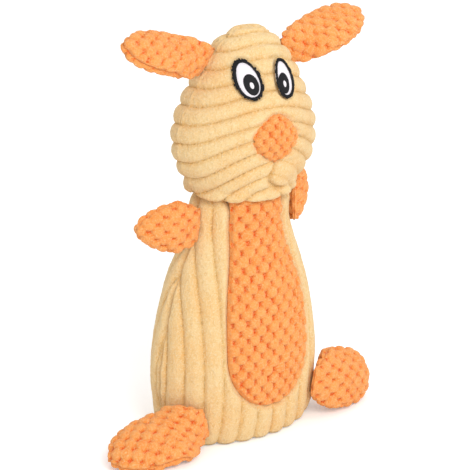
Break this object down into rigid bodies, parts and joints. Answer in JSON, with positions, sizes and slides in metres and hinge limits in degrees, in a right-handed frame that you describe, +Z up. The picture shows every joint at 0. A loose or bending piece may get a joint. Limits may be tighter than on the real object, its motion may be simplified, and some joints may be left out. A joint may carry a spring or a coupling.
{
  "type": "plush dog toy",
  "caption": "Upright stuffed dog toy with a ribbed corduroy body and head, bobbled plush belly, nose, ears, arms and feet, embroidered eyes and a squeaker inside.",
  "frame": {"origin": "centre of the flat base on the floor", "axes": "+Z up through the head, the face looks along -Y, the toy's own left is +X"},
  "size_m": [0.1862, 0.0768, 0.242],
  "materials": {
    "corduroy": "matte, soft wide ribs",
    "bobble_plush": "matte, bobbled pile",
    "fibrefill": "matte",
    "white_thread": "satin",
    "black_thread": "satin",
    "squeaker_plastic": "satin"
  },
  "bodies": {
    "torso": {"body_front_panel": "corduroy", "belly_panel": "bobble_plush", "body_back_panel": "corduroy", "base_panel": "corduroy", "body_filling_front": "fibrefill", "body_filling_back": "fibrefill", "squeaker_bulb": "squeaker_plastic", "squeaker_valve": "squeaker_plastic"},
    "head": {"head_front_panel": "corduroy", "head_back_panel": "corduroy", "head_filling": "fibrefill", "nose_patch": "bobble_plush", "eye_right_backing": "white_thread", "eye_right_border": "black_thread", "eye_right_white": "white_thread", "eye_right_pupil": "black_thread", "eye_right_glint": "white_thread", "eye_left_backing": "white_thread", "eye_left_border": "black_thread", "eye_left_white": "white_thread", "eye_left_pupil": "black_thread", "eye_left_glint": "white_thread"},
    "ear_right": {"ear_right_front": "bobble_plush", "ear_right_back": "bobble_plush", "ear_right_filling": "fibrefill"},
    "ear_left": {"ear_left_front": "bobble_plush", "ear_left_back": "bobble_plush", "ear_left_filling": "fibrefill"},
    "arm_right": {"arm_right_front": "bobble_plush", "arm_right_back": "bobble_plush", "arm_right_filling": "fibrefill"},
    "arm_left": {"arm_left_front": "bobble_plush", "arm_left_back": "bobble_plush", "arm_left_filling": "fibrefill"},
    "foot_right": {"foot_right_front": "bobble_plush", "foot_right_back": "bobble_plush", "foot_right_filling": "fibrefill"},
    "foot_left": {"foot_left_front": "bobble_plush", "foot_left_back": "bobble_plush", "foot_left_filling": "fibrefill"}
  },
  "joints": [
    {"name": "head_nod", "type": "hinge", "parent": "torso", "child": "head", "pos_m": [0.002, -0.003, 0.134], "axis": [0.9982, 0, -0.06], "range_deg": [-12, 12], "stiffness_Nm_per_rad": 0.3},
    {"name": "ear_right_flap", "type": "hinge", "parent": "head", "child": "ear_right", "pos_m": [-0.0227, -0.003, 0.22012], "axis": [0.6255, 0, 0.7802], "range_deg": [-35, 40], "stiffness_Nm_per_rad": 0.02},
    {"name": "arm_right_swing", "type": "hinge", "parent": "torso", "child": "arm_right", "pos_m": [-0.03234, -0.00814, 0.12875], "axis": [0.1, -0.0246, 0.9947], "range_deg": [-12, 75], "stiffness_Nm_per_rad": 0.02},
    {"name": "foot_right_flex", "type": "hinge", "parent": "torso", "child": "foot_right", "pos_m": [-0.03975, -0.02534, 0.0171], "axis": [-0.2392, 0.0224, 0.9707], "range_deg": [-5, 45], "stiffness_Nm_per_rad": 0.02},
    {"name": "ear_left_flap", "type": "hinge", "parent": "head", "child": "ear_left", "pos_m": [0.03683, -0.003, 0.21654], "axis": [0.5276, 0, -0.8495], "range_deg": [-35, 40], "stiffness_Nm_per_rad": 0.02},
    {"name": "arm_left_swing", "type": "hinge", "parent": "torso", "child": "arm_left", "pos_m": [0.03606, -0.00813, 0.12859], "axis": [0.0432, 0.0247, -0.9988], "range_deg": [-12, 75], "stiffness_Nm_per_rad": 0.02},
    {"name": "foot_left_flex", "type": "hinge", "parent": "torso", "child": "foot_left", "pos_m": [0.04051, -0.02558, 0.02326], "axis": [-0.2099, -0.0542, -0.9762], "range_deg": [-5, 45], "stiffness_Nm_per_rad": 0.02}
  ]
}
